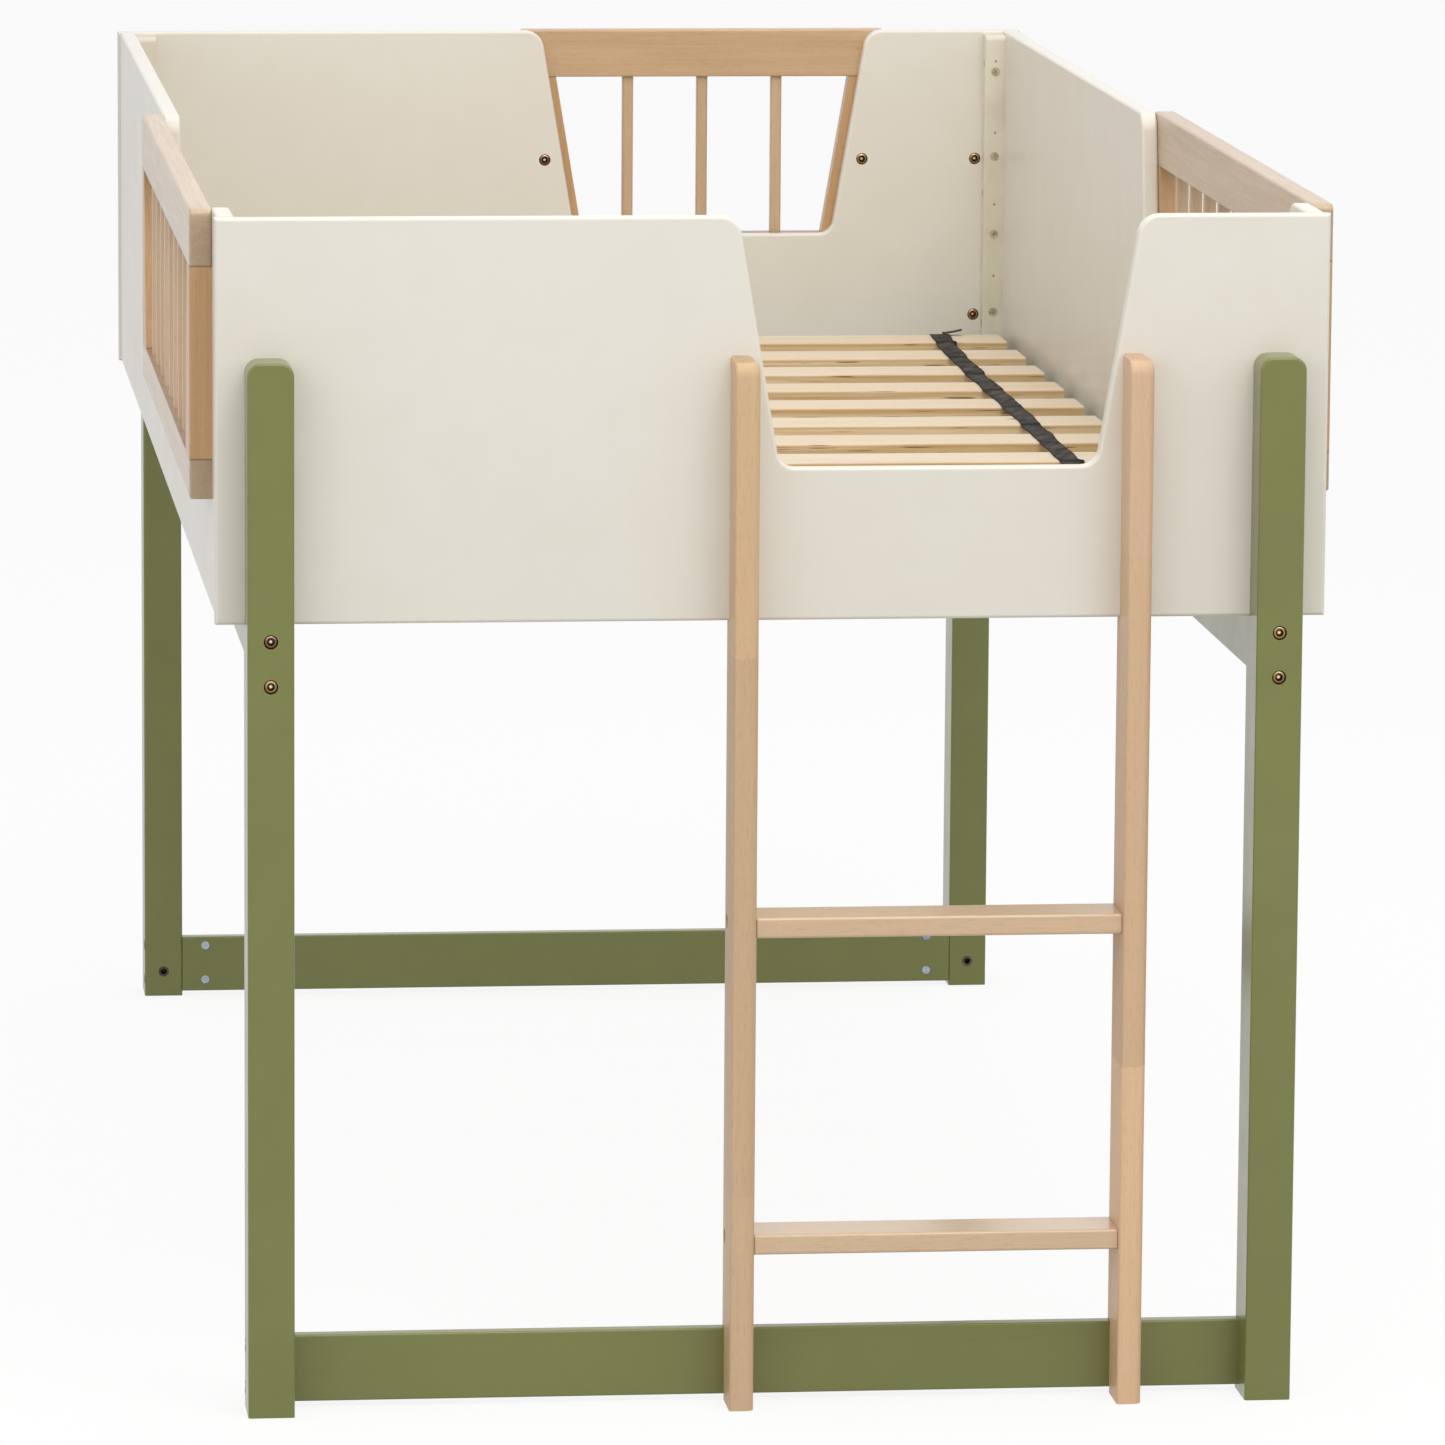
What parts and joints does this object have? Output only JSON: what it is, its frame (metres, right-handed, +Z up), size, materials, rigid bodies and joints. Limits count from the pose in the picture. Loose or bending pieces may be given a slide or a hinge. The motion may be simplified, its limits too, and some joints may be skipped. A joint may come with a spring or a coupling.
{
  "type": "loft bed",
  "caption": "Child's mid-height loft bed: lacquered panel sides with low guarded openings, slatted base, lacquered legs and a fixed oak ladder at one end.",
  "frame": {"origin": "middle of the bed's outline on the floor", "axes": "+Z up, -Y towards the ladder end, +X to the right of a person facing the ladder"},
  "size_m": [1.015, 2.062, 1.056],
  "materials": {
    "cream_lacquer": "satin lacquer on fibreboard",
    "green_lacquer": "satin lacquer",
    "ladder_oak": "matt oil",
    "guard_oak": "matt oil",
    "slat_pine": "planed, untreated",
    "strap_webbing": "ribbed webbing",
    "screw_cream": "pale coated",
    "zinc_steel": "zinc plated",
    "bronze_steel": "bronze plated"
  },
  "bodies": {
    "root": {"back_end_panel": "cream_lacquer", "back_guard_balusters": "guard_oak", "back_guard_bottom_rail": "guard_oak", "back_guard_post_a": "guard_oak", "back_guard_post_b": "guard_oak", "back_guard_top_rail": "guard_oak", "back_left_cleat": "cream_lacquer", "back_left_leg": "green_lacquer", "back_lower_rail": "green_lacquer", "back_right_cleat": "cream_lacquer", "back_right_leg": "green_lacquer", "bearer_nuts": "zinc_steel", "cleat_screws": "screw_cream", "front_end_panel": "cream_lacquer", "front_left_cleat": "cream_lacquer", "front_left_leg": "green_lacquer", "front_lower_rail": "green_lacquer", "front_right_cleat": "cream_lacquer", "front_right_leg": "green_lacquer", "guard_bolts": "bronze_steel", "ladder_bolts": "bronze_steel", "ladder_left_upright": "ladder_oak", "ladder_lower_rung": "ladder_oak", "ladder_right_upright": "ladder_oak", "ladder_upper_rung": "ladder_oak", "left_bearer": "green_lacquer", "left_guard_balusters": "guard_oak", "left_guard_bottom_rail": "guard_oak", "left_guard_post_a": "guard_oak", "left_guard_post_b": "guard_oak", "left_guard_top_rail": "guard_oak", "left_side_panel": "cream_lacquer", "left_strap": "strap_webbing", "leg_bearer_bolts": "bronze_steel", "leg_inserts": "zinc_steel", "leg_panel_bolts": "bronze_steel", "lower_rail_bolts": "bronze_steel", "lower_rail_nuts": "zinc_steel", "right_bearer": "green_lacquer", "right_guard_balusters": "guard_oak", "right_guard_bottom_rail": "guard_oak", "right_guard_post_a": "guard_oak", "right_guard_post_b": "guard_oak", "right_guard_top_rail": "guard_oak", "right_side_panel": "cream_lacquer", "right_strap": "strap_webbing", "rung_bolts": "bronze_steel", "slat_01": "slat_pine", "slat_02": "slat_pine", "slat_03": "slat_pine", "slat_04": "slat_pine", "slat_05": "slat_pine", "slat_06": "slat_pine", "slat_07": "slat_pine", "slat_08": "slat_pine", "slat_09": "slat_pine", "slat_10": "slat_pine", "slat_11": "slat_pine", "slat_12": "slat_pine", "slat_13": "slat_pine"}
  },
  "joints": []
}
